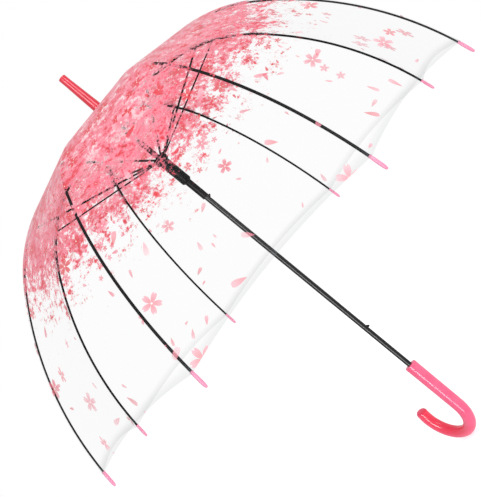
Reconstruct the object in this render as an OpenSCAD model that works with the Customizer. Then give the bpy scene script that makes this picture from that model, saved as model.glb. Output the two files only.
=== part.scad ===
// Clear bubble umbrella, open: film dome on eight bending ribs, sliding runner, steel shaft and J handle.
// Millimetres. +Z runs up the shaft, z = 0 is the bottom of the hook, the hook turns towards +X.

/* [Handle] */
// Radius of the grip
grip_r = 9.4; // [8:0.2:12]
// Radius of the grip at its top edge
grip_top_r = 9.8; // [8:0.2:12]
// Length of the straight grip above the hook
grip_straight = 89; // [70:1:120]
// Centre-line radius of the hook
hook_r = 43.5; // [32:0.5:50]
// Turn of the hook past its half circle, in degrees
hook_tail = 23; // [0:1:35]
// Radius of the rounded end of the hook
hook_end_r = 3.2; // [2:0.2:4]
// Depth of the shaft's socket in the grip
grip_socket = 60; // [40:1:80]

/* [Shaft] */
// Outer diameter of the shaft tube
shaft_d = 8; // [8:0.5:9]
// Wall of the shaft tube
shaft_wall = 0.5; // [0.4:0.1:0.6]
// Shaft from the top of the grip to the rib pivots
shaft_free = 573.5; // [560:0.5:700]
// Shaft above the rib pivots, inside the notch and the ferrule
shaft_above = 62; // [40:1:70]

/* [Ferrule] */
// Ferrule length, from the washer to its tip
ferrule_l = 74; // [60:1:90]
// Radius of the straight end of the ferrule
ferrule_tip_r = 6.2; // [5.6:0.1:7]
// Length of the straight end of the ferrule
ferrule_tip_l = 12; // [8:1:20]
// Radius of the ferrule at its base
ferrule_base_r = 8.2; // [7.5:0.1:9.5]
// Radius of the washer that holds the film down
washer_r = 13; // [11:0.5:16]
// Thickness of the washer
washer_t = 1.4; // [1:0.1:2]

/* [Notch] */
// Radius of the circle of rib pivots
pivot_r = 8.6; // [8.4:0.1:10]
// Wall of the notch outside the rib pivots
notch_rim = 2; // [1.6:0.1:3]
// Height of the notch above the rib pivots
notch_up = 9; // [7:0.5:12]
// Height of the notch below the rib pivots
notch_down = 5; // [4:0.1:5.2]
// Radius of the ring wire that the ribs hang on
wire_r = 0.6; // [0.5:0.05:0.7]
// Radius of the pin that holds the notch on the shaft
pin_r = 0.8; // [0.6:0.1:1]

/* [Ribs] */
// Angle of a rib at the notch, from straight down
rib_angle = 83; // [76:0.5:86]
// Straight length of a rib from its pivot
rib_straight = 123.5; // [100:0.5:150]
// Radius of the shoulder bend
shoulder_r = 225; // [200:1:260]
// Turn of the shoulder bend, in degrees
shoulder_turn = 39.5; // [34:0.5:42]
// Radius of the lower bend
skirt_r = 480; // [420:5:600]
// Length of a rib from its pivot to the tip of its cap
rib_l = 580; // [560:1:620]
// Width of a rib's channel
rib_w = 3; // [2.8:0.1:3.6]
// Depth of a rib's channel
rib_d = 2.4; // [2.2:0.1:2.8]
// Sheet thickness of the ribs and stretchers
sheet_t = 0.5; // [0.4:0.05:0.6]
// Place along a rib of the stretcher joint
joint_s = 203; // [180:1:220]
// Place along a rib of the second bending point
flex_s = 350; // [310:1:390]
// Turn of the first rib from the hook's plane, in degrees
rib_turn = 34.5; // [0:0.5:45]
// Length of a tip cap
cap_l = 25; // [18:1:30]
// Radius of a tip cap
cap_r = 2.3; // [2.1:0.1:2.8]
// Angle of the inner ribs from the shaft when the umbrella is closed
closed_angle = 5.5; // [4.5:0.1:8]

/* [Stretchers and runner] */
// Drop from the rib pivots to the stretcher pivots
runner_drop = 103; // [90:1:115]
// Distance from the runner's sleeve out to the circle of stretcher pivots
crown_gap = 1.5; // [1.5:0.1:3]
// Wall of the runner's crown outside the stretcher pivots
crown_rim = 1.4; // [1.2:0.1:3]
// Height of the runner's crown above the stretcher pivots
crown_up = 4; // [3:0.5:6]
// Height of the runner's crown below the stretcher pivots
crown_down = 8; // [6:0.5:10]
// Radius of the runner's sleeve
sleeve_r = 8.1; // [7:0.1:8.1]
// Length of the runner's sleeve below the crown
sleeve_l = 42; // [30:1:60]
// Radius of the runner's neck
neck_r = 5.3; // [5.2:0.1:6]
// Length of the runner's neck
neck_l = 37; // [30:1:45]
// Width of a stretcher
strut_w = 2.4; // [2.2:0.1:2.8]
// Depth of a stretcher
strut_d = 2.2; // [2:0.1:2.6]
// Radius of the rivet at a stretcher joint
rivet_r = 0.75; // [0.6:0.05:0.85]

/* [Catches] */
// Turn of both catches from the hook's plane, in degrees
catch_turn = 239; // [0:1:359]
// How far a catch stands out of the shaft
catch_out = 3; // [2:0.1:3.2]
// Length of a catch, from its fixed end to its nose
catch_l = 24; // [20:1:30]
// Height of a catch's nose
nose_h = 6; // [5:0.5:8]
// Height of the bottom catch above the lower end of the closed runner
closed_neck_gap = 4.6; // [4:0.1:8]

/* [Film] */
// Thickness of the film
film_t = 0.2; // [0.15:0.05:0.4]
// Length of rib that the film leaves bare at its tip
film_bare = 22; // [18:1:26]
// Radius at which the film comes down onto the ribs
film_land_r = 40; // [30:1:60]

/* [Hidden] */
ribs = 8;
step_a = 360 / ribs;
degrees = 180 / PI;
fit_gap = 0.05;
press_gap = 0.01;
body_gap = 0.3;
cut = 1;
eye_r = 1.5;
tab_w = 1.8;
slot_w = 2.4;
tab_l = 6;
block_l = 5;
leaf_t = 0.6;
leaf_w = 2;
bead_r = 0.6;
rivet_head_r = 1.2;
rivet_head_t = 0.5;
fork_l = 10;
tang_w = 2;
tang_d = 1.6;
tang_l = 14;
rib_step = 12;
shaft_r = shaft_d / 2;
tube_r = shaft_r - shaft_wall;
bend_z = grip_r + hook_r;
grip_top_z = bend_z + grip_straight;
pivot_z = grip_top_z + shaft_free;
notch_r = pivot_r + notch_rim;
film_z = notch_up + film_t;
ferrule_z = film_z + washer_t;
bore_r = wire_r + 0.1;
rivet_bore_r = rivet_r + fit_gap;
crown_z = -runner_drop;
neck_end_z = crown_z - crown_down - sleeve_l - neck_l;
fork_in = rib_w / 2 + 0.1;
fork_out = fork_in + 0.6;
film_off = eye_r + body_gap + fork_out * tan(step_a / 2);
film_end_s = rib_l - film_bare;
film_hole_r = (shaft_r + body_gap) / cos(step_a / 2);
catch_x = tube_r - 1.1;
nose_x = shaft_r + catch_out;
edge_cut = 0.6;
pin_down = 3.5;
neck_taper = 3;
crown_taper = 2;
crown_eye_r = 1.2;
fork_block = 3;
cap_taper = 6;
cap_end_r = 1.7;
seam = 0.1;
crown_pivot_r = sleeve_r + crown_gap;
crown_r = crown_pivot_r + crown_rim;

$fn = 48;

// The line of a rib at length s: its angle from straight down, its place [radius, height], its outward side.
function rib_tau(s) =
    s <= rib_straight ? rib_angle
    : s <= shoulder_end ? rib_angle - (s - rib_straight) / shoulder_r * degrees
    : rib_angle - shoulder_turn - (s - shoulder_end) / skirt_r * degrees;
function bend(r, from, to) = r * [cos(to) - cos(from), sin(to) - sin(from)];
function rib_at(s) =
    [pivot_r, 0]
    + min(s, rib_straight) * [sin(rib_angle), -cos(rib_angle)]
    + (s <= rib_straight ? [0, 0] : bend(shoulder_r, rib_angle, rib_tau(min(s, shoulder_end))))
    + (s <= shoulder_end ? [0, 0] : bend(skirt_r, rib_angle - shoulder_turn, rib_tau(s)));
function rib_side(s) = [cos(rib_tau(s)), sin(rib_tau(s))];
shoulder_end = rib_straight + shoulder_r * shoulder_turn / degrees;

// Stations along a rib, with none inside its straight stretch
function stations(a, b, n) =
    [for (i = [0:n]) let (s = a + (b - a) * i / n) if (i == 0 || i == n || s > rib_straight) s];
function edge(list, off) = [for (s = list) rib_at(s) + off * rib_side(s)];
function back(list) = [for (i = [len(list) - 1:-1:0]) list[i]];

// The stretcher from the rib joint to the runner's crown
joint_p = rib_at(joint_s);
crown_p = [crown_pivot_r, crown_z];
strut_l = norm(joint_p - crown_p);
strut_a = atan2(crown_p[1] - joint_p[1], crown_p[0] - joint_p[0]);

// Where the rib joint and the crown come to rest when the umbrella is closed, and the catches that hold them
closed_joint = rib_at(0) + norm(joint_p - rib_at(0)) * [sin(closed_angle), -cos(closed_angle)];
closed_crown_z = closed_joint[1] - sqrt(strut_l ^ 2 - (closed_joint[0] - crown_pivot_r) ^ 2);
travel = crown_z - closed_crown_z;
top_nose_z = neck_end_z - body_gap;
bottom_nose_z = neck_end_z - travel + closed_neck_gap;

// Puts a shape drawn in a rib's own plane at the place of rib n
module at_rib(n) {
    translate([0, 0, pivot_z]) rotate([0, 0, rib_turn + step_a * (n - 1)]) children();
}

// A slab that follows the rib from a to b, between two offsets from its line
module band(a, b, low, high, w) {
    list = stations(a, b, ceil((b - a) / rib_step));
    rotate([90, 0, 0]) linear_extrude(w, center = true)
        polygon(concat(edge(list, low), back(edge(list, high))));
}

// A round bar across a rib's plane at a point of that plane
module cross_bar(p, r, w, $fn = 32) {
    translate([p[0], 0, p[1]]) rotate([90, 0, 0]) cylinder(r = r, h = w, center = true);
}

// The open channel of a rib, with solid ends
module channel(a, b, open_a, open_b) {
    difference() {
        band(a, b, -rib_d / 2, rib_d / 2, rib_w);
        band(open_a, open_b, -rib_d, rib_d / 2 - sheet_t, rib_w - 2 * sheet_t);
    }
}

// The tongue that ends a rib segment at length s
module tongue(s) {
    band(s - block_l + cut, s, -rib_d / 2, rib_d / 2, tab_w);
    cross_bar(rib_at(s), eye_r, tab_w);
}

// The two walls that start a rib segment at length s, with the web cut back
module fork_walls(s) {
    difference() {
        union() {
            children();
            cross_bar(rib_at(s), eye_r, rib_w);
        }
        band(s - 2 * cut, s + 2 * eye_r, -2 * eye_r, 2 * eye_r, rib_w - 2 * sheet_t);
        cross_bar(rib_at(s), rivet_bore_r, rib_w + cut);
    }
}

module rib_inner(n) {
    color("black") at_rib(n) difference() {
        union() {
            channel(tab_l, joint_s - eye_r - body_gap, tab_l + block_l, joint_s - 2 * block_l);
            band(0, tab_l + cut, -rib_d / 2, rib_d / 2, tab_w);
            cross_bar(rib_at(0), eye_r, tab_w);
            tongue(joint_s);
        }
        cross_bar(rib_at(0), bore_r, rib_w);
        cross_bar(joint_p, rivet_bore_r, rib_w);
    }
}

module rib_middle(n) {
    color("black") at_rib(n) {
        fork_walls(joint_s)
            channel(joint_s, flex_s - eye_r - body_gap, joint_s - cut, flex_s - 2 * block_l);
        tongue(flex_s);
        cross_bar(rib_at(flex_s), rivet_r, rib_w);
    }
}

module rib_outer(n) {
    color("black") at_rib(n) {
        fork_walls(flex_s) channel(flex_s, rib_l - cap_l, flex_s - cut, rib_l - cap_l - block_l);
        band(rib_l - cap_l - cut, rib_l - cap_l + tang_l, -tang_d / 2, tang_d / 2, tang_w);
    }
}

module tip_cap(n) {
    mid_s = rib_l - cap_l / 2;
    color("pink") at_rib(n) difference() {
        translate([rib_at(mid_s)[0], 0, rib_at(mid_s)[1]]) rotate([0, 180 - rib_tau(mid_s), 0])
            translate([0, 0, -cap_l / 2]) rotate_extrude()
                polygon([
                    [0, 0], [cap_r - edge_cut / 2, 0], [cap_r, edge_cut], [cap_r, cap_l - cap_taper],
                    [cap_end_r, cap_l - edge_cut], [0, cap_l]
                ]);
        band(rib_l - cap_l - cut, rib_l - cap_l + tang_l + fit_gap,
            -tang_d / 2 - fit_gap, tang_d / 2 + fit_gap, tang_w + 2 * fit_gap);
    }
}

// A stretcher lies along +X of its own frame, from its rib joint at 0 to its runner end
module stretcher(n) {
    color("black") at_rib(n) translate([joint_p[0], 0, joint_p[1]]) rotate([0, -strut_a, 0]) {
        difference() {
            union() {
                for (side = [-1, 1]) translate([0, side * (fork_in + fork_out) / 2, 0]) {
                    cross_bar([0, 0], eye_r, fork_out - fork_in);
                    translate([fork_l / 2, 0, 0]) cube([fork_l, fork_out - fork_in, strut_d], center = true);
                }
                translate([fork_l, -fork_out, -strut_d / 2]) cube([fork_block, 2 * fork_out, strut_d]);
                translate([fork_l + fork_block - cut, -strut_w / 2, -strut_d / 2])
                    cube([strut_l - fork_l - tab_l, strut_w, strut_d]);
                translate([strut_l - tab_l, -tab_w / 2, -strut_d / 2]) cube([tab_l, tab_w, strut_d]);
                cross_bar([strut_l, 0], crown_eye_r, tab_w);
            }
            translate([fork_l + block_l, -strut_w / 2 + sheet_t, -strut_d])
                cube([strut_l - fork_l - 3 * block_l, strut_w - 2 * sheet_t, 1.5 * strut_d - sheet_t]);
            cross_bar([0, 0], rivet_r + press_gap, 3 * fork_out);
        }
        cross_bar([0, 0], rivet_r, 2 * fork_out + rivet_head_t);
        for (side = [-1, 1]) translate([0, side * (fork_out + press_gap + rivet_head_t / 2), 0])
            cross_bar([0, 0], rivet_head_r, rivet_head_t);
    }
}

module top_notch() {
    color("black") translate([0, 0, pivot_z]) difference() {
        rotate_extrude() polygon([
            [shaft_r + press_gap, -notch_down], [notch_r - 1, -notch_down], [notch_r, 1 - notch_down],
            [notch_r, notch_up - 1], [notch_r - 1, notch_up], [shaft_r + press_gap, notch_up]
        ]);
        for (i = [0:ribs - 1]) rotate([0, 0, rib_turn + step_a * i])
            translate([pivot_r - eye_r - body_gap, -slot_w / 2, -notch_down - cut])
                cube([notch_r, slot_w, notch_down + cut + eye_r + body_gap]);
        rotate_extrude() translate([pivot_r, 0]) circle(r = wire_r + fit_gap, $fn = 24);
        notch_pin_bar(pin_r + press_gap);
    }
}

module notch_pin_bar(r) {
    rotate([0, 0, rib_turn + step_a / 2]) translate([0, 0, notch_up - pin_down]) rotate([0, 90, 0])
        cylinder(r = r, h = 2 * (notch_r - 0.6), center = true, $fn = 32);
}

module notch_pin() {
    color("silver") translate([0, 0, pivot_z]) notch_pin_bar(pin_r);
}

module notch_wire() {
    color("silver") translate([0, 0, pivot_z]) rotate_extrude() translate([pivot_r, 0])
        circle(r = wire_r, $fn = 24);
}

module film_washer() {
    color("firebrick") translate([0, 0, pivot_z + film_z]) rotate_extrude() polygon([
        [shaft_r + press_gap, 0], [washer_r, 0], [washer_r, washer_t / 2],
        [washer_r - edge_cut, washer_t], [shaft_r + press_gap, washer_t]
    ]);
}

module ferrule() {
    socket = shaft_above - ferrule_z + cut;
    color("crimson") translate([0, 0, pivot_z + ferrule_z]) rotate_extrude() polygon([
        [shaft_r + press_gap, 0], [ferrule_base_r, 0], [ferrule_tip_r, ferrule_l - ferrule_tip_l],
        [ferrule_tip_r, ferrule_l - 1], [ferrule_tip_r - 1, ferrule_l], [0, ferrule_l],
        [0, socket], [shaft_r + press_gap, socket]
    ]);
}

module shaft() {
    color("black") translate([0, 0, pivot_z]) difference() {
        translate([0, 0, -shaft_free - grip_socket + cut])
            cylinder(r = shaft_r, h = shaft_free + grip_socket - cut + shaft_above);
        translate([0, 0, -shaft_free - grip_socket])
            cylinder(r = tube_r, h = shaft_free + grip_socket + shaft_above + cut);
        rotate([0, 0, catch_turn]) {
            tube_slot(top_nose_z - nose_h - cut, top_nose_z + leaf_t);
            tube_slot(bottom_nose_z - nose_h / 2 - leaf_t, bottom_nose_z + nose_h / 2 + cut);
        }
        notch_pin_bar(pin_r + press_gap);
    }
}

module tube_slot(low, high) {
    translate([tube_r / 2, -slot_w / 2, low]) cube([shaft_d, slot_w, high - low]);
}

// A sprung leaf inside the tube: its nose points to +X, dir is the way from the nose to its fixed end
module catch_leaf(flat_z, dir) {
    color("silver") translate([0, 0, pivot_z]) rotate([0, 0, catch_turn]) {
        rotate([90, 0, 0]) linear_extrude(leaf_w, center = true) polygon([
            [catch_x, flat_z], [nose_x - 0.8, flat_z], [nose_x, flat_z + dir * 0.8],
            [nose_x, flat_z + dir * nose_h / 3], [catch_x + leaf_t, flat_z + dir * nose_h],
            [catch_x + leaf_t, flat_z + dir * catch_l], [catch_x, flat_z + dir * catch_l]
        ]);
        cross_bar([catch_x + leaf_t / 2, flat_z + dir * catch_l], bead_r, leaf_w);
    }
}

module top_catch() {
    catch_leaf(top_nose_z, -1);
}

module bottom_catch() {
    catch_leaf(bottom_nose_z - nose_h / 2, 1);
}

module runner() {
    sleeve_low = crown_z - crown_down - sleeve_l;
    color("black") translate([0, 0, pivot_z]) difference() {
        rotate_extrude() polygon([
            [shaft_r + fit_gap, crown_z + crown_up], [crown_r - 1, crown_z + crown_up],
            [crown_r, crown_z + crown_up - 1], [crown_r, crown_z - crown_down + crown_taper],
            [sleeve_r, crown_z - crown_down], [sleeve_r, sleeve_low], [neck_r, sleeve_low - neck_taper],
            [neck_r, neck_end_z], [shaft_r + fit_gap, neck_end_z]
        ]);
        for (i = [0:ribs - 1]) rotate([0, 0, rib_turn + step_a * i])
            translate([sleeve_r, -slot_w / 2, crown_z - crown_down - cut])
                cube([crown_r, slot_w, crown_up + crown_down + 2 * cut]);
        rotate([0, 0, catch_turn]) translate([shaft_r / 2, -slot_w / 2, neck_end_z + closed_neck_gap - nose_h / 2])
            cube([shaft_d, slot_w, nose_h]);
    }
}

// The film dome, straight from rib to rib
module canopy() {
    land_s = (film_land_r - pivot_r) / sin(rib_angle);
    list = stations(land_s, film_end_s, 2 * ribs);
    under = concat([[film_hole_r, notch_up], [notch_r + 0.5, notch_up]], edge(list, film_off));
    over = concat([[film_hole_r, film_z], [notch_r + 0.6, film_z]], edge(list, film_off + film_t));
    color("mistyrose", 0.4) translate([0, 0, pivot_z]) rotate([0, 0, rib_turn])
        rotate_extrude($fn = ribs) polygon(concat(under, back(over)));
}

module handle() {
    color("hotpink") difference() {
        union() {
            translate([0, 0, bend_z]) cylinder(r1 = grip_r + seam, r2 = grip_top_r, h = grip_straight - 1.5);
            translate([0, 0, grip_top_z - 1.5]) cylinder(r1 = grip_top_r, r2 = grip_top_r - 1.5, h = 1.5);
            translate([hook_r, 0, bend_z]) rotate([90, 180, 0])
                rotate_extrude(angle = 180 + hook_tail) translate([hook_r, 0]) circle(r = grip_r);
            translate([hook_r, 0, bend_z]) rotate([0, -hook_tail, 0]) translate([hook_r, 0, 0])
                rotate_extrude() hook_end();
        }
        translate([0, 0, grip_top_z - grip_socket]) cylinder(r = shaft_r + press_gap, h = grip_socket + cut);
    }
}

module hook_end() {
    end_r = grip_r - seam;
    polygon(concat(
        [[0, 0]],
        [for (a = [0:15:90]) [end_r - hook_end_r * (1 - cos(a)), hook_end_r * sin(a)]],
        [[0, hook_end_r]]
    ));
}

handle();
shaft();
ferrule();
film_washer();
top_notch();
notch_wire();
notch_pin();
runner();
top_catch();
bottom_catch();
canopy();
for (n = [1:ribs]) {
    rib_inner(n);
    rib_middle(n);
    rib_outer(n);
    stretcher(n);
    tip_cap(n);
}
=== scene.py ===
from math import atan2, cos, pi, radians, sin, sqrt

import bmesh
import bpy
from mathutils import Matrix, Vector


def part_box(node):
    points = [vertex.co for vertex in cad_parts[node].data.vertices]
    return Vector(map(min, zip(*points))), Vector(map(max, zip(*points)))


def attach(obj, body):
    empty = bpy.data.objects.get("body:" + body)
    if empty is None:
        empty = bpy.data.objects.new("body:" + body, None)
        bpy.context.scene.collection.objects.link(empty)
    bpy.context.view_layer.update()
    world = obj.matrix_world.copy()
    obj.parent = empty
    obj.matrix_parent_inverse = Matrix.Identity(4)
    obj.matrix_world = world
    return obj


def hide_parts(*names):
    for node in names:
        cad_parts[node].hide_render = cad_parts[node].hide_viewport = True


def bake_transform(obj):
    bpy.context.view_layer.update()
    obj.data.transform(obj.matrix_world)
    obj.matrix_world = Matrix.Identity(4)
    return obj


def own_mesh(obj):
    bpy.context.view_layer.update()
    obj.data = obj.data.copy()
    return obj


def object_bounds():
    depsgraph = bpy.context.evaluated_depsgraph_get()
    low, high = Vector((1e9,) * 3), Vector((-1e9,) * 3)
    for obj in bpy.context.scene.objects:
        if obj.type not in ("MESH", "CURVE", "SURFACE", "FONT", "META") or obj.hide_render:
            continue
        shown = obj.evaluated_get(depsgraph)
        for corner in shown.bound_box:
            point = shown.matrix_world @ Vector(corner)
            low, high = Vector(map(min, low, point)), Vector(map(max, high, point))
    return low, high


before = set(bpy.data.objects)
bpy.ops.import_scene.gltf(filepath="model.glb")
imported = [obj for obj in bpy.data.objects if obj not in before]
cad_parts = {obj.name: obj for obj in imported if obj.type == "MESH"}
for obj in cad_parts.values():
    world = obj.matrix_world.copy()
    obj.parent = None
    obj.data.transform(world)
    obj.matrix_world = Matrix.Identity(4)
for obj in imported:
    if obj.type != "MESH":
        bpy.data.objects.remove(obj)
cadLow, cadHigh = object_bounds()
scene = bpy.context.scene

# Camera

cameraSet = {"azimuth": 239, "elevation": -1.06, "roll": -50.5,  # degrees
             "distance": 1.359, "aim": (0.0135, 0.0225, 0.4387), "near": 0.05, "far": 60,  # metres
             "lens": 69.8, "sensor": 36}  # millimetres


def aimCamera():
    turn, lift, roll = (radians(cameraSet[k]) for k in ("azimuth", "elevation", "roll"))
    back = Vector((sin(turn) * cos(lift), -cos(turn) * cos(lift), sin(lift)))
    level = Vector((cos(turn), sin(turn), 0))
    right = level * cos(roll) + back.cross(level) * sin(roll)
    lens = bpy.data.cameras.new("studioCamera")
    lens.sensor_fit, lens.sensor_width, lens.lens = "HORIZONTAL", cameraSet["sensor"], cameraSet["lens"]
    lens.clip_start, lens.clip_end = cameraSet["near"], cameraSet["far"]
    eye = bpy.data.objects.new("studioCamera", lens)
    scene.collection.objects.link(eye)
    axes = Matrix((right, back.cross(right), back)).transposed().to_4x4()
    eye.matrix_world = Matrix.Translation(Vector(cameraSet["aim"]) + back * cameraSet["distance"]) @ axes
    scene.camera = eye


aimCamera()
print("camera set")

# Sizes shared by the pieces, in metres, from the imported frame

ribSet = {"count": 8, "firstTurn": 34.5, "pivotR": 0.0086, "pivotUp": 0.005,  # pivotUp from the notch's foot
          "angle": 83, "straight": 0.1235, "shoulderR": 0.225, "shoulderTurn": 39.5, "skirtR": 0.48,
          "length": 0.58, "capLength": 0.025, "tang": 0.004, "start": 0.006,
          "joint": 0.203, "flex": 0.35, "halfBlend": 0.04,  # joints and bends by length along the rib
          "width": 0.003, "depth": 0.0024, "sheet": 0.0005, "step": 0.006}
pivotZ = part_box("top_notch")[0].z + ribSet["pivotUp"]
goreTurn = 2 * pi / ribSet["count"]
ribTurns = [radians(ribSet["firstTurn"] + 45 * n) for n in range(ribSet["count"])]


# Radius and height of a rib's line at length s, measured from the pivot's height, with the angle of its
# tangent from straight down: a straight stretch, the shoulder's arc, then the flatter arc of the skirt
def ribPoint(s):
    a0, turn = radians(ribSet["angle"]), radians(ribSet["shoulderTurn"])
    bendLength = ribSet["shoulderR"] * turn
    flat = min(s, ribSet["straight"])
    r, z, a = ribSet["pivotR"] + flat * sin(a0), -flat * cos(a0), a0
    if s > ribSet["straight"]:
        a = a0 - min(s - ribSet["straight"], bendLength) / ribSet["shoulderR"]
        r += ribSet["shoulderR"] * (cos(a) - cos(a0))
        z += ribSet["shoulderR"] * (sin(a) - sin(a0))
    if s > ribSet["straight"] + bendLength:
        a1, a = a, a - (s - ribSet["straight"] - bendLength) / ribSet["skirtR"]
        r += ribSet["skirtR"] * (cos(a) - cos(a1))
        z += ribSet["skirtR"] * (sin(a) - sin(a1))
    return r, z, a


# The same place in space, on the rib turned this far round and off its line by so much
def ribPlace(s, turn, off=0.0):
    r, z, a = ribPoint(s)
    r, z = r + off * cos(a), z + off * sin(a)
    return Vector((r * cos(turn), r * sin(turn), pivotZ + z))


# Finishes

# A colour given as on a screen, 0 to 255, made linear
def paint(red, green, blue):
    def straight(c):
        c /= 255
        return c / 12.92 if c <= 0.04045 else ((c + 0.055) / 1.055) ** 2.4
    return (straight(red), straight(green), straight(blue), 1.0)


def newFinish(name):
    finish = bpy.data.materials.new(name)
    finish.use_nodes = True
    return finish, finish.node_tree, finish.node_tree.nodes["Principled BSDF"]


# A node with its settings, and its inputs given as numbers, colours or other nodes' outputs
def put(tree, kind, inputs=None, **settings):
    made = tree.nodes.new(kind)
    for key, value in settings.items():
        setattr(made, key, value)
    for key, value in (inputs or {}).items():
        if isinstance(value, bpy.types.NodeSocket):
            tree.links.new(value, made.inputs[key])
        else:
            made.inputs[key].default_value = value
    return made


def sums(tree, operation, *values, clamp=False):
    return put(tree, "ShaderNodeMath", dict(enumerate(values)), operation=operation,
               use_clamp=clamp).outputs[0]


def blendColour(tree, share, low, high):
    return put(tree, "ShaderNodeMix", {0: share, 6: low, 7: high}, data_type="RGBA").outputs[2]


# Maps low..high onto the two values of to, easing at both ends unless told not to
def spread(tree, value, low, high, to=(0, 1), smooth=True):
    return put(tree, "ShaderNodeMapRange", {0: value, 1: low, 2: high, 3: to[0], 4: to[1]},
               interpolation_type="SMOOTHSTEP" if smooth else "LINEAR").outputs[0]


def ramp(tree, share, stops):
    made = put(tree, "ShaderNodeValToRGB", {0: share})
    bar = made.color_ramp
    while len(bar.elements) < len(stops):
        bar.elements.new(0.5)
    for element, (place, colour) in zip(bar.elements, stops):
        element.position, element.color = place, colour
    return made.outputs[0]


def noise(tree, where, scale, detail=3, rough=0.55):
    return put(tree, "ShaderNodeTexNoise",
               {"Vector": where, "Scale": scale, "Detail": detail, "Roughness": rough},
               noise_dimensions="3D").outputs[0]


def bump(tree, skin, height, strength, distance):
    made = put(tree, "ShaderNodeBump", {"Height": height, "Strength": strength, "Distance": distance})
    tree.links.new(made.outputs[0], skin.inputs["Normal"])


def objectPlace(tree):
    return put(tree, "ShaderNodeTexCoord").outputs["Object"]


mouldSet = {"drift": 38, "marks": 260, "peel": 900, "peelStrength": 0.01, "peelDepth": 0.0004,
            "dulling": 0.12, "coat": 0.35, "coatRough": 0.13}


# Glossy moulded plastic with slow colour drift, fine orange peel and faint handling marks
def moulded(name, colours, rough):
    finish, tree, skin = newFinish(name)
    where = objectPlace(tree)
    drift = noise(tree, where, mouldSet["drift"], 4)
    tree.links.new(ramp(tree, drift, [(0.3, colours[0]), (0.7, colours[1])]), skin.inputs["Base Color"])
    marks = noise(tree, where, mouldSet["marks"], 6, 0.7)
    dulled = spread(tree, marks, 0.35, 0.75, (rough, rough + mouldSet["dulling"]))
    tree.links.new(dulled, skin.inputs["Roughness"])
    bump(tree, skin, noise(tree, where, mouldSet["peel"], 2), mouldSet["peelStrength"], mouldSet["peelDepth"])
    skin.inputs["Coat Weight"].default_value = mouldSet["coat"]
    skin.inputs["Coat Roughness"].default_value = mouldSet["coatRough"]
    return finish, tree, skin


lacquerSet = {"rub": 420, "rubFrom": (0.56, 0.8), "dulling": 0.16, "grain": 1500, "grainStrength": 0.03,
              "grainDepth": 0.0002}


# Black lacquer on steel or nylon, a little greyer where it rubs
def lacquered(name, dark, worn, rough, shine):
    finish, tree, skin = newFinish(name)
    where = objectPlace(tree)
    rub = noise(tree, where, lacquerSet["rub"], 5, 0.7)
    share = spread(tree, rub, *lacquerSet["rubFrom"])
    tree.links.new(blendColour(tree, share, dark, worn), skin.inputs["Base Color"])
    dulled = spread(tree, rub, 0.3, 0.7, (rough, rough + lacquerSet["dulling"]))
    tree.links.new(dulled, skin.inputs["Roughness"])
    bump(tree, skin, noise(tree, where, lacquerSet["grain"], 3), lacquerSet["grainStrength"],
         lacquerSet["grainDepth"])
    skin.inputs["Specular IOR Level"].default_value = shine
    return finish


# Bare steel, drawn lengthwise
def brightSteel():
    finish, tree, skin = newFinish("brightSteel")
    where = put(tree, "ShaderNodeMapping", {"Vector": objectPlace(tree), "Scale": (1, 1, 0.06)}).outputs[0]
    lines = noise(tree, where, 2600, 4, 0.65)
    tree.links.new(ramp(tree, lines, [(0.3, paint(150, 152, 158)), (0.7, paint(205, 207, 212))]),
                   skin.inputs["Base Color"])
    tree.links.new(spread(tree, lines, 0.3, 0.7, (0.18, 0.36)), skin.inputs["Roughness"])
    skin.inputs["Metallic"].default_value = 1.0
    return finish


gripSet = {"pink": paint(250, 92, 134), "lightPink": paint(254, 112, 150), "red": paint(251, 58, 86),
           "rough": 0.12, "redFrom": (0.42, 0.62), "redShare": (0.12, 0.95)}


# Pink down the straight of the grip, then redder along the hook, most on its inner side
def gripFinish():
    finish, tree, skin = moulded("pinkGrip", (gripSet["pink"], gripSet["lightPink"]), gripSet["rough"])
    drift = skin.inputs["Base Color"].links[0].from_socket
    along = put(tree, "ShaderNodeAttribute", attribute_name="alongGrip").outputs["Fac"]
    inner = put(tree, "ShaderNodeAttribute", attribute_name="innerSide").outputs["Fac"]
    hook = spread(tree, along, *gripSet["redFrom"])
    share = sums(tree, "MULTIPLY", hook, spread(tree, inner, -0.9, 1.0, gripSet["redShare"]), clamp=True)
    tree.links.new(blendColour(tree, share, drift, gripSet["red"]), skin.inputs["Base Color"])
    return finish


pinkGrip = gripFinish()
redPlastic = moulded("redPlastic", (paint(220, 40, 64), paint(232, 58, 80)), 0.15)[0]
washerRed = moulded("washerRed", (paint(150, 24, 38), paint(176, 34, 48)), 0.22)[0]
pinkCap = moulded("pinkCap", (paint(236, 132, 172), paint(243, 152, 186)), 0.42)[0]
blackSteel = lacquered("blackSteel", paint(5, 5, 6), paint(26, 26, 28), 0.18, 0.6)
ribSteel = lacquered("ribSteel", paint(4, 4, 5), paint(22, 22, 24), 0.34, 0.16)
blackPlastic = lacquered("blackPlastic", paint(9, 9, 10), paint(30, 29, 31), 0.36, 0.26)
steel = brightSteel()
print("finishes ready")


# The printed film: scattered five-petal blossoms and loose petals, thick at the crown

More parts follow.
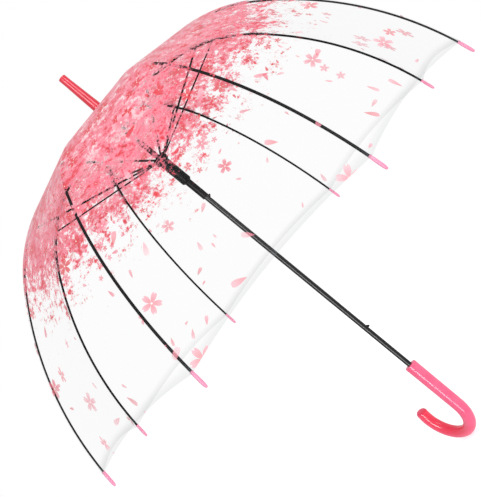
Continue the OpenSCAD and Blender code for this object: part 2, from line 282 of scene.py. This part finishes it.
filmSet = {"offset": 0.00281, "endLength": 0.558, "scallop": 0.012, "rows": 14, "columns": 8,
           "landR": 0.040, "holeR": 0.0046, "topZ": 0.0091, "flatR": 0.0125, "flatShare": 0.18,
           "landing": 0.0155, "elbowR": 0.0285, "slope": 8.144,
           "hem": 0.005, "seam": 0.004, "seamShare": 0.2,
           "clearAlpha": 0.018, "edgeAlpha": 0.4, "edgePower": 9.0, "borderAlpha": 0.15,
           "tint": paint(128, 134, 140), "index": 1.53}
printSet = {
    "dense": (0.19, 0.32),  # from here down the film the print thins out
    "fullGore": 2, "extra": 0.075, "falloff": 4.0, "fullBand": (0.03, 0.1),  # the gore with more print
    "goreStep": 0.9, "slant": 0.37,  # how gores and layers are set apart, so that none repeats
    "scatter": 0.62, "smallest": 0.78, "spin": 6.283,  # each blossom's place, size and turn
    "wander": 0.06, "spill": (0.045, 0.02), "paler": (0.27, 0.4),
    "coral": paint(226, 52, 62), "rose": paint(238, 100, 122), "blush": paint(247, 154, 172),
    "pale": paint(252, 204, 211), "ink": paint(84, 40, 48), "fleck": paint(255, 238, 239),
    "heart": (1, 0.93, 0.9, 1),
    "wash": ((0.41, "coral"), (0.45, "rose"), (0.485, "blush"), (0.505, "rose"), (0.54, "pale"),
             (0.58, "fleck")),
    "layers": [dict(zip(("petal", "cell", "radius", "crown", "skirt", "shift", "opacity"), row)) for row in (
        (False, 0.017, 0.0072, 0.9, 0.0, 3.1, 0.8),  # crown and skirt: the share of cells that hold one
        (True, 0.021, 0.0062, 0.8, 0.02, 5.9, 0.85),
        (False, 0.031, 0.0105, 0.9, 0.022, 7.7, 0.85),
        (True, 0.047, 0.0105, 0.5, 0.2, 9.3, 0.8),
        (False, 0.056, 0.0175, 0.75, 0.085, 1.3, 0.85))]}


# Place on a gore in metres, with each gore set apart from the next; the distance from the apex that thins
# the print, cut short on the fuller gore; and the true distance
def printPlace(tree):
    made = put(tree, "ShaderNodeSeparateXYZ",
               {0: put(tree, "ShaderNodeAttribute", attribute_name="gorePlace").outputs["Vector"]})
    side, along, gore = made.outputs
    across = sums(tree, "MULTIPLY_ADD", gore, printSet["goreStep"], side)
    where = put(tree, "ShaderNodeCombineXYZ", {0: across, 1: along}).outputs[0]
    turn = sums(tree, "MULTIPLY_ADD", gore, goreTurn, -printSet["fullGore"] * goreTurn)
    nearness = sums(tree, "MULTIPLY_ADD", sums(tree, "COSINE", turn), 0.5, 0.5)
    fuller = sums(tree, "POWER", nearness, printSet["falloff"])
    fuller = sums(tree, "MULTIPLY", fuller, printSet["extra"])
    middle = spread(tree, sums(tree, "ABSOLUTE", side), *printSet["fullBand"], (1, 0))
    return where, sums(tree, "SUBTRACT", along, sums(tree, "MULTIPLY", fuller, middle)), along


# How far inside a loose petal's outline each point lies, and its share of the way from heart to rim
def petalShape(tree, away, angle):
    u = sums(tree, "MULTIPLY", away, sums(tree, "COSINE", angle))
    v = sums(tree, "MULTIPLY", away, sums(tree, "SINE", angle))
    belly = sums(tree, "SQRT", sums(tree, "SUBTRACT", 1.0, sums(tree, "MULTIPLY", u, u), clamp=True))
    width = sums(tree, "MULTIPLY", belly, sums(tree, "MULTIPLY_ADD", u, 0.22, 0.36))
    notch = sums(tree, "MULTIPLY", spread(tree, u, 0.62, 1.0),
                 spread(tree, sums(tree, "ABSOLUTE", v), 0.0, 0.16, (0.3, 0.0)))
    room = sums(tree, "SUBTRACT", sums(tree, "SUBTRACT", width, sums(tree, "ABSOLUTE", v)), notch)
    return room, sums(tree, "MULTIPLY_ADD", u, 0.5, 0.5, clamp=True)


# The same for a blossom of five cleft petals
def blossomShape(tree, away, angle):
    lobe = sums(tree, "ABSOLUTE", sums(tree, "COSINE", sums(tree, "MULTIPLY", angle, 2.5)))
    reach = sums(tree, "MULTIPLY_ADD", sums(tree, "POWER", lobe, 0.8), 0.9, 0.1)
    cleft = spread(tree, lobe, 0.965, 1.0, (0.0, 0.15))
    return sums(tree, "SUBTRACT", sums(tree, "SUBTRACT", reach, cleft), away), away


# One layer of blossoms or loose petals, one to a cell: its mask, and a colour that runs from heart to rim
def motif(tree, where, layer):
    lift = layer["shift"] * printSet["slant"]
    moved = put(tree, "ShaderNodeVectorMath", {0: where, 1: (layer["shift"], lift, 0)},
                operation="ADD").outputs[0]
    cells = put(tree, "ShaderNodeTexVoronoi",
                {"Vector": moved, "Scale": 1 / layer["cell"], "Randomness": printSet["scatter"]},
                voronoi_dimensions="2D", feature="F1")
    local = put(tree, "ShaderNodeVectorMath", {0: moved, 1: cells.outputs["Position"]},
                operation="SUBTRACT").outputs[0]
    chance = put(tree, "ShaderNodeSeparateColor", {0: cells.outputs["Color"]})
    side = put(tree, "ShaderNodeSeparateXYZ", {0: local})
    sizes = (layer["radius"] * printSet["smallest"], layer["radius"])
    size = spread(tree, chance.outputs[1], 0, 1, sizes, False)
    reach = put(tree, "ShaderNodeVectorMath", {0: local}, operation="LENGTH").outputs["Value"]
    away = sums(tree, "DIVIDE", reach, size)
    angle = sums(tree, "MULTIPLY_ADD", chance.outputs[0], printSet["spin"],
                 sums(tree, "ARCTAN2", side.outputs[1], side.outputs[0]))
    room, edge = (petalShape if layer["petal"] else blossomShape)(tree, away, angle)
    mask = spread(tree, room, 0.0, 0.07)
    home = put(tree, "ShaderNodeSeparateXYZ", {0: cells.outputs["Position"]}).outputs[1]
    home = sums(tree, "SUBTRACT", home, lift)
    stray = spread(tree, noise(tree, cells.outputs["Position"], 9, 1), 0.3, 0.7,
                   (-printSet["wander"], printSet["wander"]), False)
    home = sums(tree, "ADD", home, stray)
    wanted = spread(tree, home, *printSet["dense"], (layer["crown"], layer["skirt"]))
    mask = sums(tree, "MULTIPLY", mask, sums(tree, "LESS_THAN", chance.outputs[2], wanted))
    hue = put(tree, "ShaderNodeTexWhiteNoise", {0: cells.outputs["Position"]},
              noise_dimensions="3D").outputs["Value"]
    hue = sums(tree, "MULTIPLY_ADD", hue, 0.75, spread(tree, home, *printSet["paler"], (0.0, 0.27)))
    heart = ramp(tree, hue, [(0.0, printSet["coral"]), (0.3, printSet["coral"]), (0.5, printSet["rose"]),
                             (1.0, printSet["blush"])])
    rim = ramp(tree, hue, [(0.0, printSet["coral"]), (0.25, printSet["rose"]), (0.5, printSet["blush"]),
                           (1.0, printSet["pale"])])
    colour = blendColour(tree, spread(tree, edge, 0.15, 0.95), heart, rim)
    if not layer["petal"]:
        star = spread(tree, away, 0.05, 0.13, (1.0, 0.0))
        colour = blendColour(tree, star, colour, printSet["heart"])
    faded = sums(tree, "MULTIPLY", spread(tree, home, 0.3, 0.42, (1.0, 0.78)), layer["opacity"])
    return sums(tree, "MULTIPLY", mask, faded), colour


# Clear film, a little greyer at its edge and seams, under a mottled wash, the motif layers and thin twigs
def filmFinish():
    finish, tree, skin = newFinish("clearFilm")
    where, along, apex = printPlace(tree)
    mottle = noise(tree, where, 130, 6, 0.78)
    patches = noise(tree, where, 34, 5, 0.66)
    stray = (-printSet["wander"], printSet["wander"])
    ragged = sums(tree, "ADD", spread(tree, patches, 0.36, 0.64, stray, False),
                  spread(tree, mottle, 0.36, 0.64, stray, False))
    density = sums(tree, "ADD", along, ragged)
    crown = spread(tree, density, printSet["dense"][0] + printSet["spill"][0],
                   printSet["dense"][1] - printSet["spill"][1], (1, 0))
    crown = sums(tree, "MULTIPLY", crown, spread(tree, apex, 0.016, 0.036, (0.1, 1.0)))
    tone = sums(tree, "MULTIPLY_ADD", mottle, 0.6, sums(tree, "MULTIPLY", patches, 0.4))
    wash = ramp(tree, tone, [(place, printSet[name]) for place, name in printSet["wash"]])
    cover = sums(tree, "MULTIPLY", crown, spread(tree, mottle, 0.56, 0.68, (0.97, 0.62)))
    slant = put(tree, "ShaderNodeLayerWeight", {"Blend": 0.5}).outputs["Facing"]
    graze = sums(tree, "POWER", slant, filmSet["edgePower"])
    colour = blendColour(tree, spread(tree, cover, 0.0, 0.3), filmSet["tint"], wash)
    for layer in printSet["layers"]:
        mask, own = motif(tree, where, layer)
        colour = blendColour(tree, spread(tree, mask, 0.05, 0.45), colour, own)
        cover = sums(tree, "MAXIMUM", cover, mask)
    lines = sums(tree, "ABSOLUTE", sums(tree, "SUBTRACT", noise(tree, where, 62, 3, 0.6), 0.5))
    twigs = sums(tree, "MULTIPLY", spread(tree, lines, 0.004, 0.012, (1, 0)),
                 spread(tree, noise(tree, where, 26, 2), 0.55, 0.66))
    twigs = sums(tree, "MULTIPLY", twigs, sums(tree, "MULTIPLY", crown, 0.7))
    colour = blendColour(tree, twigs, colour, printSet["ink"])
    cover = sums(tree, "MAXIMUM", cover, twigs)
    clear = sums(tree, "MULTIPLY_ADD", graze, filmSet["edgeAlpha"], filmSet["clearAlpha"])
    border = put(tree, "ShaderNodeAttribute", attribute_name="borderLine").outputs["Fac"]
    clear = sums(tree, "ADD", clear, spread(tree, border, 0.0, 1.0, (0.0, filmSet["borderAlpha"])))
    tree.links.new(sums(tree, "MAXIMUM", cover, clear, clamp=True), skin.inputs["Alpha"])
    tree.links.new(colour, skin.inputs["Base Color"])
    tree.links.new(spread(tree, cover, 0.0, 0.5, (0.07, 0.3)), skin.inputs["Roughness"])
    bump(tree, skin, noise(tree, where, 22, 2), 0.25, 0.004)
    skin.inputs["IOR"].default_value = filmSet["index"]
    return finish


clearFilm = filmFinish()
print("film print ready")


# Making meshes

def addPiece(name, mesh, finish, body=None, stands=()):
    piece = bpy.data.objects.new(name, mesh)
    scene.collection.objects.link(piece)
    mesh.materials.clear()
    mesh.materials.append(finish)
    if body:
        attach(piece, body)
    if stands:
        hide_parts(*stands)
    return piece


def meshFrom(name, points, faces):
    mesh = bpy.data.meshes.new(name)
    mesh.from_pydata([tuple(p) for p in points], [], faces)
    mesh.shade_smooth()
    return mesh


# Joins points that meet, turns the faces outwards where asked, and shades all but the sharp edges smooth
def finishMesh(mesh, sharp=35, gap=1e-6, outwards=True):
    work = bmesh.new()
    work.from_mesh(mesh)
    bmesh.ops.remove_doubles(work, verts=work.verts, dist=gap)
    if outwards:
        bmesh.ops.recalc_face_normals(work, faces=work.faces)
    work.to_mesh(mesh)
    work.free()
    mesh.shade_smooth()
    mesh.set_sharp_from_angle(angle=radians(sharp))
    return mesh


# Skins rings of equally many points, and fans both ends shut
def tubeMesh(name, rings, sharp=35, shut=True):
    count = len(rings[0])
    points = [p for ring in rings for p in ring]
    faces = []
    for k in range(len(rings) - 1):
        here, above = k * count, (k + 1) * count
        faces += [(here + i, here + (i + 1) % count, above + (i + 1) % count, above + i)
                  for i in range(count)]
    if shut:
        for k in (0, len(rings) - 1):
            points.append(sum((Vector(p) for p in rings[k]), Vector()) / count)
            faces += [(k * count + i, k * count + (i + 1) % count, len(points) - 1) for i in range(count)]
    return finishMesh(meshFrom(name, points, faces), sharp)


# Turns an outline of (radius, height) about the shaft's line
def lathe(name, outline, count, closed=False):
    rings = [[Vector((r * cos(2 * pi * i / count), r * sin(2 * pi * i / count), z)) for i in range(count)]
             for r, z in outline]
    return tubeMesh(name, rings + rings[:1] if closed else rings, shut=not closed)


# Points of an arc, in degrees
def roundOver(centre, radius, start, end, steps=6):
    turns = [radians(start + (end - start) * i / steps) for i in range(steps + 1)]
    return [(centre[0] + radius * cos(a), centre[1] + radius * sin(a)) for a in turns]


# A smooth-shaded copy of a CAD node with its triangles joined up, standing for the node
def cadCopy(node, name, finish, body, sharp=32):
    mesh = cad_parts[node].data.copy()
    mesh.name = name
    return addPiece(name, finishMesh(mesh, sharp, 2e-6, False), finish, body, (node,))


# Film: two sheets for every rib and stretch, from the rib to the middle of the gore

joint, flex, hem = ribSet["joint"], ribSet["flex"], filmSet["endLength"]
stretches = [{"part": "crown", "body": "rib_inner", "from": 0.0, "to": joint, "share": 0.134},
             {"part": "shoulder", "body": "rib_middle", "from": joint, "to": flex, "share": 0.115},
             {"part": "skirt", "body": "rib_outer", "from": flex, "to": hem, "share": 0.07}]
foldSet = {"out": 0.06,  # how far a folded gore stands out past its ribs, as a share of half its width
           "cosine": 0.9239, "sine": 0.3827,  # of half a gore's turn
           "reach": 0.3536, "near": 0.1464, "far": 0.8536}  # half of the sine, of 1 less the cosine and of
                                                            # 1 plus the cosine, of a whole gore's turn


# Radius and height of the film in a rib's plane: flat under the washer, then down onto the rib
def filmPoint(s):
    land = (filmSet["landR"] - ribSet["pivotR"]) / sin(radians(ribSet["angle"])) + filmSet["landing"]
    r, z, a = ribPoint(max(s, land))
    end = (r + filmSet["offset"] * cos(a), z + filmSet["offset"] * sin(a))
    if s >= land:
        return end
    flatR, flatShare, topZ = filmSet["flatR"], filmSet["flatShare"], filmSet["topZ"]
    t = s / land
    if t < flatShare:
        return filmSet["holeR"] + (flatR - filmSet["holeR"]) * t / flatShare, topZ
    t = (t - flatShare) / (1 - flatShare)
    elbow = (filmSet["elbowR"], end[1] + (end[0] - filmSet["elbowR"]) / filmSet["slope"])
    one, two, three = (1 - t) ** 2, 2 * t * (1 - t), t * t
    return one * flatR + two * elbow[0] + three * end[0], one * topZ + two * elbow[1] + three * end[1]


# Angle from straight down of the line between two places on a rib
def chordAngle(a, b):
    (ra, za, _), (rb, zb, _) = ribPoint(a), ribPoint(b)
    return atan2(rb - ra, za - zb)


# One half gore of one stretch; hand is 1 for the half ahead of the rib and -1 for the half behind it
def filmSheet(n, stretch, hand):
    turn, half = ribTurns[n], goreTurn / 2
    radial = Vector((cos(turn), sin(turn), 0))
    rows, columns = filmSet["rows"], filmSet["columns"]
    points, places, border = [], [], []
    for i in range(rows + 1):
        s = stretch["from"] + (stretch["to"] - stretch["from"]) * i / rows
        for j in range(columns + 1):
            across = j / columns
            own = s
            if stretch["part"] == "skirt":
                own -= filmSet["scallop"] * (1 - (1 - across) ** 2) * ((i / rows) ** 2)
            r, z = filmPoint(own)
            middle = Vector((cos(turn + hand * half), sin(turn + hand * half), 0)) * r * cos(half)
            point = radial * r * (1 - across) + middle * across
            points.append(Vector((point.x, point.y, pivotZ + z)))
            gore = n if hand > 0 else (n - 1) % ribSet["count"]
            places.append((-hand * (1 - across) * r * sin(half), own, gore))
            edge = (filmSet["endLength"] - s) if stretch["part"] == "skirt" else 1.0
            seam = across * r * sin(half)
            weld = filmSet["seamShare"] * (1 - seam / filmSet["seam"])
            border.append(max(0.0, 1 - edge / filmSet["hem"], weld))
    w = columns + 1
    faces = [(i * w + j, i * w + j + 1, (i + 1) * w + j + 1, (i + 1) * w + j)
             for i in range(rows) for j in range(columns)]
    if hand > 0:
        faces = [tuple(reversed(f)) for f in faces]
    name = "film" + stretch["part"].capitalize() + str(n + 1) + ("a" if hand > 0 else "b")
    mesh = meshFrom(name, points, faces)
    flat = [c for place in places for c in place]
    mesh.attributes.new("gorePlace", "FLOAT_VECTOR", "POINT").data.foreach_set("vector", flat)
    mesh.attributes.new("borderLine", "FLOAT", "POINT").data.foreach_set("value", border)
    return mesh


# The way a sheet flattens as the ribs fold: across the rib's chord, so that its edge stays on the rib, with
# its anchor and the share of its width that is kept
def foldAxis(n, stretch, hand):
    a = chordAngle(stretch["from"], min(stretch["to"], ribSet["length"]))
    out = foldSet["reach"] * (1 - cos(a)) - foldSet["out"]
    close = foldSet["near"] * cos(a) + foldSet["far"] - stretch["share"]
    lean = atan2(out, close) - goreTurn / 2
    grip = foldSet["cosine"] * cos(lean) - foldSet["sine"] * cos(a) * sin(lean)
    keep = 1 - sqrt(out * out + close * close) / grip
    turn = ribTurns[n]
    radial, ahead = Vector((cos(turn), sin(turn), 0)), Vector((-sin(turn), cos(turn), 0)) * hand
    side = radial * cos(a) + Vector((0, 0, sin(a)))
    middle = (stretch["from"] + stretch["to"]) / 2
    low, high = (ribPlace(s, turn, filmSet["offset"]) for s in (stretch["from"], middle))
    bulge = max(0.0, (high - low).dot(side))
    return ahead * cos(lean) + side * sin(lean), low + side * bulge * 0.5, keep


def makeFilm():
    for n in range(ribSet["count"]):
        for stretch in stretches:
            for hand in (1, -1):
                mesh = filmSheet(n, stretch, hand)
                body = f"{stretch['body']}_{n + 1}"
                piece = addPiece(mesh.name, mesh, clearFilm, body, ("canopy",))
                axis, anchor, keep = foldAxis(n, stretch, hand)
                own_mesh(piece)
    print(2 * len(stretches) * ribSet["count"], "film sheets laid on the ribs")


makeFilm()


# Ribs: a folded channel swept along each rib's line, in two pieces

# Sweeps a section object along a line of edges, turns it about the shaft and lifts it
def sweepTree():
    tree = bpy.data.node_groups.new("channelSweep", "GeometryNodeTree")
    for name, way, kind in (("Geometry", "OUTPUT", "Geometry"), ("Line", "INPUT", "Geometry"),
                            ("Section", "INPUT", "Object"), ("Size", "INPUT", "Float"),
                            ("Turn", "INPUT", "Float"), ("Lift", "INPUT", "Float"),
                            ("Finish", "INPUT", "Material")):
        tree.interface.new_socket(name, in_out=way, socket_type="NodeSocket" + kind)
    given, made = tree.nodes.new("NodeGroupInput"), tree.nodes.new("NodeGroupOutput")
    line = put(tree, "GeometryNodeMeshToCurve", {0: given.outputs["Line"]}).outputs[0]
    line = put(tree, "GeometryNodeSetCurveNormal", {0: line, "Normal": (0, 1, 0)}, mode="FREE").outputs[0]
    section = put(tree, "GeometryNodeObjectInfo", {0: given.outputs["Section"]}).outputs["Geometry"]
    section = put(tree, "GeometryNodeMeshToCurve", {0: section}).outputs[0]
    size = put(tree, "ShaderNodeCombineXYZ", {0: given.outputs["Size"], 1: given.outputs["Size"], 2: 1.0})
    section = put(tree, "GeometryNodeTransform", {0: section, "Scale": size.outputs[0]}).outputs[0]
    swept = put(tree, "GeometryNodeCurveToMesh", {0: line, 1: section, "Fill Caps": True}).outputs[0]
    turn = put(tree, "ShaderNodeCombineXYZ", {2: given.outputs["Turn"]}).outputs[0]
    lift = put(tree, "ShaderNodeCombineXYZ", {2: given.outputs["Lift"]}).outputs[0]
    placed = put(tree, "GeometryNodeTransform", {0: swept, "Translation": lift, "Rotation": turn}).outputs[0]
    real = put(tree, "GeometryNodeRealizeInstances", {0: placed}).outputs[0]
    finished = put(tree, "GeometryNodeSetMaterial", {0: real, "Material": given.outputs["Finish"]})
    tree.links.new(finished.outputs[0], made.inputs[0])
    return tree


# A row of points joined by edges, as an object for the tree to read
def lineObject(name, points, closed=False):
    mesh = bpy.data.meshes.new(name)
    count = len(points)
    mesh.from_pydata([tuple(p) for p in points],
                     [(k, (k + 1) % count) for k in range(count if closed else count - 1)], [])
    made = bpy.data.objects.new(name, mesh)
    scene.collection.objects.link(made)
    return made


# One swept piece as a plain mesh, with the modifier taken off again
def sweptMesh(name, line, section, tree, turn, finish):
    modifier = line.modifiers.new("sweep", "NODES")
    modifier.node_group = tree
    given = {"Section": section, "Size": 1.0, "Turn": turn, "Lift": pivotZ, "Finish": finish}
    for item in tree.interface.items_tree:
        if item.in_out == "INPUT" and item.name in given:
            modifier[item.identifier] = given[item.name]
    solved = line.evaluated_get(bpy.context.evaluated_depsgraph_get())
    mesh = bpy.data.meshes.new_from_object(solved)
    line.modifiers.remove(modifier)
    mesh.name = name
    return finishMesh(mesh)


# A U-shaped section with softened outer corners; x goes across and y along the rib's outward side
def channelOutline(width, depth, sheet):
    w, d, c = width / 2, depth / 2, width * 0.14
    crest = [(-w, d - c), (-w + c * 0.3, d - c * 0.3), (-w + c, d), (w - c, d), (w - c * 0.3, d - c * 0.3),
             (w, d - c)]
    hollow = [(w, -d), (w - sheet, -d), (w - sheet, d - sheet), (sheet - w, d - sheet), (sheet - w, -d),
              (-w, -d)]
    return [(x, y, 0) for x, y in crest + hollow]


# Each rib is two pieces, cut midway between its joints
def makeRibs():
    tree = sweepTree()
    outline = channelOutline(ribSet["width"], ribSet["depth"], ribSet["sheet"])
    section = lineObject("channelSection", outline, True)
    middle = (ribSet["joint"] + ribSet["flex"]) / 2
    ends = ribSet["length"] - ribSet["capLength"] + ribSet["tang"]
    parts = [("ribUpper", ribSet["start"], middle, "joint", "rib_inner", "rib_middle",
              ("rib_inner", "rib_middle")),
             ("ribLower", middle, ends, "flex", "rib_middle", "rib_outer", ("rib_outer",))]
    for name, start, end, centre, bodyA, bodyB, stands in parts:
        count = round((end - start) / ribSet["step"])
        spots = [ribPoint(start + (end - start) * k / count) for k in range(count + 1)]
        line = lineObject(name + "Line", [(r, 0, z) for r, z, _ in spots])
        for n, turn in enumerate(ribTurns):
            mesh = sweptMesh(f"{name}{n + 1}", line, section, tree, turn, ribSteel)
            piece = addPiece(mesh.name, mesh, ribSteel, None,
                             [f"{node}_{n + 1}" for node in stands])
            ribPlace(ribSet[centre] - ribSet["halfBlend"], turn)
            ribPlace(ribSet[centre] + ribSet["halfBlend"], turn)
            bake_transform(piece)
        bpy.data.objects.remove(line)
    bpy.data.objects.remove(section)
    print("ribs swept")


makeRibs()

capSet = {"radius": 0.0023, "neck": 0.0021, "length": ribSet["capLength"], "tip": 0.0016, "around": 20}


# Moulded tip caps: a lipped mouth, a long barrel and a rounded nose
def makeCaps():
    r, neck, length, tip = (capSet[k] for k in ("radius", "neck", "length", "tip"))
    outline = [(r * 0.72, 0.0), (r - 0.0003, 0.0), (r, 0.0004), (r, 0.0016), (neck, 0.0021), (neck, 0.0042),
               (r, 0.0052), (r, length - 0.0075), (r * 0.93, length - 0.0045)]
    outline += roundOver((0.0, length - tip - 0.0006), tip + 0.0001, 20, 86)
    middle = ribPoint(ribSet["length"] - length / 2)
    for n, turn in enumerate(ribTurns):
        mesh = lathe(f"tipCap{n + 1}", outline, capSet["around"])
        lean = Matrix.Rotation(pi - middle[2], 4, "Y")
        centre = Vector((middle[0], 0, middle[1]))
        mesh.transform(Matrix.Translation(centre) @ lean @ Matrix.Translation((0, 0, -length / 2)))
        mesh.transform(Matrix.Translation((0, 0, pivotZ)) @ Matrix.Rotation(turn, 4, "Z"))
        addPiece(mesh.name, mesh, pinkCap, f"rib_outer_{n + 1}", (f"tip_cap_{n + 1}",))


makeCaps()

# Handle, ferrule and washer

handleSet = {"topR": 0.0098, "gripR": 0.0094, "endR": 0.0088, "topZ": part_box("handle")[1].z, "bendZ": 0.0529,
             "hookR": 0.0435, "tail": 23,  # degrees that the hook runs on past a half circle
             "mouthR": 0.0056, "lip": 0.0016, "round": 0.0015, "endRound": 0.0042,
             "around": 48, "bends": 40}
quarterTurn = [radians(a) for a in (15, 30, 45, 60, 75, 90)]


# A J-shaped grip: rings along a straight stretch and a hook, with a rounded mouth and a rounded end. Each
# point keeps its share of the way along and how far it lies towards the inside of the hook
def makeHandle():
    topR, gripR, endR = (handleSet[k] for k in ("topR", "gripR", "endR"))
    topZ, bendZ, hookR = (handleSet[k] for k in ("topZ", "bendZ", "hookR"))
    mouthRound, endRound = handleSet["round"], handleSet["endRound"]
    straight = topZ - bendZ
    arc = hookR * radians(180 + handleSet["tail"])
    total = straight + arc
    stations = [(0.0, handleSet["mouthR"]), (0.0, topR - handleSet["lip"])]
    stations += [(mouthRound * (1 - cos(a)), topR - mouthRound * (1 - sin(a))) for a in quarterTurn]
    stations += [(straight * t, topR + (gripR - topR) * t) for t in (0.1, 0.25, 0.4, 0.55, 0.7, 0.85, 1.0)]
    bends = [k / handleSet["bends"] for k in range(1, handleSet["bends"] + 1)]
    stations += [(straight + (arc - endRound) * t, gripR + (endR - gripR) * t) for t in bends]
    stations += [(total - endRound + endRound * sin(a), endR - endRound * (1 - cos(a))) for a in quarterTurn]
    rings = []
    for s, r in stations:
        centre, side = Vector((0, 0, topZ - s)), Vector((1, 0, 0))
        if s > straight:
            a = (s - straight) / hookR
            centre = Vector((hookR - hookR * cos(a), 0, bendZ - hookR * sin(a)))
            side = Vector((cos(a), 0, sin(a)))
        turns = [2 * pi * i / handleSet["around"] for i in range(handleSet["around"])]
        rings.append([centre + side * r * cos(b) + Vector((0, 1, 0)) * r * sin(b) for b in turns])
    mesh = tubeMesh("curvedGrip", rings, 50)
    along, inner = [], []
    for p in (v.co for v in mesh.vertices):
        if p.z >= bendZ - 1e-6 and p.x < hookR * 0.5:
            along.append((topZ - p.z) / total)
            inner.append(p.x / gripR)
        else:
            a = atan2(bendZ - p.z, hookR - p.x) % (2 * pi)
            along.append((straight + hookR * a) / total)
            inner.append((hookR - Vector((p.x - hookR, 0, p.z - bendZ)).length) / gripR)
    mesh.attributes.new("alongGrip", "FLOAT", "POINT").data.foreach_set("value", along)
    mesh.attributes.new("innerSide", "FLOAT", "POINT").data.foreach_set("value", inner)
    addPiece("curvedGrip", mesh, pinkGrip, "frame", ("handle",))


ferruleSet = {"boreR": 0.0045, "collarR": 0.0082, "baseR": 0.0078, "endR": 0.0062, "collar": 0.0026,
              "straight": 0.012, "nose": 0.0012, "around": 56}
washerSet = {"holeR": 0.0042, "dishR": 0.0088, "rimR": 0.0095, "dish": 0.0003, "around": 64}


# The ferrule: a collar, a taper, and a straight end with a rounded nose
def makeFerrule():
    low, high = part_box("ferrule")
    z0, z1 = low.z, high.z
    collarR, baseR, endR, nose = (ferruleSet[k] for k in ("collarR", "baseR", "endR", "nose"))
    taper = z1 - ferruleSet["straight"] - ferruleSet["collar"] - z0
    outline = [(ferruleSet["boreR"], z0), (collarR - 0.0003, z0), (collarR, z0 + 0.0003),
               (collarR - 0.0001, z0 + 0.0022), (baseR, z0 + ferruleSet["collar"])]
    outline += [(baseR + (endR - baseR) * t, z0 + ferruleSet["collar"] + taper * t)
                for t in (0.2, 0.4, 0.6, 0.8, 1)]
    outline += [(endR, z1 - nose)] + roundOver((endR - nose, z1 - nose), nose, 0, 84) + [(0.0001, z1)]
    mesh = lathe("ferruleSpike", outline, ferruleSet["around"])
    addPiece("ferruleSpike", mesh, redPlastic, "frame", ("ferrule",))


# The washer: a ring with a rounded rim, dished a little on top
def makeWasher():
    low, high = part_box("film_washer")
    r, z0, z1 = high.x, low.z, high.z
    half = (z1 - z0) / 2
    holeR, dishR, rimR, dish = (washerSet[k] for k in ("holeR", "dishR", "rimR", "dish"))
    outline = [(holeR, z0)] + roundOver((r - half, z0 + half), half, -90, 90, 8)
    outline += [(rimR, z1), (dishR, z1 - dish), (holeR, z1 - dish)]
    mesh = lathe("filmWasher", outline, washerSet["around"], True)
    addPiece("filmWasher", mesh, washerRed, "frame", ("film_washer",))


makeHandle()
makeFerrule()
makeWasher()
print("caps, handle, ferrule and washer made")

# Shaft, notch, runner, catches and stretchers keep their CAD shapes

cadCopy("shaft", "steelShaft", blackSteel, "frame")
cadCopy("top_notch", "topNotch", blackPlastic, "frame")
cadCopy("notch_wire", "notchWire", steel, "frame", 60)
cadCopy("notch_pin", "notchPin", steel, "frame")
cadCopy("runner", "slidingRunner", blackPlastic, "runner")
cadCopy("top_catch", "topCatch", blackSteel, "top_catch")
cadCopy("bottom_catch", "bottomCatch", blackSteel, "bottom_catch")
for number in range(1, ribSet["count"] + 1):
    cadCopy(f"stretcher_{number}", f"stretcher{number}", ribSteel, f"stretcher_{number}")
print("frame pieces placed")


# Studio

studioSet = {"floorZ": cadLow.z - 0.0005, "floorR": 14, "floorGrey": 0.62, "floorGlow": 0.68, "world": 0.58,
             "panels": [  # name, place, width and height, power, and the point each faces
                        ("gripStrip", (-1.13, 1.88, 0.0), (0.75, 3.2), 68, (0, 0, 0.0)),
                        ("ferruleStrip", (-2.1, -0.2, 1.25), (0.4, 1.1), 15, (0, 0, 0.8)),
                        ("softFill", (-2.65, 0.5, 1.4), (1.8, 1.8), 26, (0, 0, 0.4)),
                        ("topFill", (-0.2, 0.1, 2.6), (2.0, 2.0), 16, (0, 0, 0.4)),
                        ("backFill", (2.0, -1.6, 1.6), (1.4, 1.4), 12, (0, 0, 0.4))]}


# A pale floor, an even white surround, and soft panels: a Strip shows only as a highlight, a Fill never does
def makeStudio():
    mesh = bpy.data.meshes.new("paleFloor")
    work = bmesh.new()
    bmesh.ops.create_circle(work, cap_ends=True, cap_tris=False, segments=64, radius=studioSet["floorR"],
                            matrix=Matrix.Translation((0, 0, studioSet["floorZ"])))
    work.to_mesh(mesh)
    work.free()
    finish, _, skin = newFinish("paleFloor")
    skin.inputs["Base Color"].default_value = (studioSet["floorGrey"],) * 3 + (1,)
    skin.inputs["Roughness"].default_value = 0.9
    skin.inputs["Specular IOR Level"].default_value = 0.0
    skin.inputs["Emission Color"].default_value = (1, 1, 1, 1)
    skin.inputs["Emission Strength"].default_value = studioSet["floorGlow"]
    floor = addPiece("paleFloor", mesh, finish)
    floor.visible_glossy = False
    world = bpy.data.worlds.new("studio")
    world.use_nodes = True
    sky = world.node_tree.nodes["Background"]
    sky.inputs[0].default_value = (1, 1, 1, 1)
    seen = put(world.node_tree, "ShaderNodeLightPath").outputs["Is Camera Ray"]
    glow = spread(world.node_tree, seen, 0, 1, (studioSet["world"], 1.0), False)
    world.node_tree.links.new(glow, sky.inputs[1])
    scene.world = world
    scene.view_settings.view_transform = "Standard"
    for name, where, size, power, aim in studioSet["panels"]:
        light = bpy.data.lights.new(name, "AREA")
        light.shape, light.size, light.size_y, light.energy = "RECTANGLE", size[0], size[1], power
        lamp = bpy.data.objects.new(name, light)
        lamp.location = where
        lamp.rotation_euler = (Vector(aim) - Vector(where)).to_track_quat("-Z", "Y").to_euler()
        lamp.visible_diffuse, lamp.visible_glossy = name.endswith("Fill"), name.endswith("Strip")
        scene.collection.objects.link(lamp)


makeStudio()
print("studio lit")

print("scene complete")
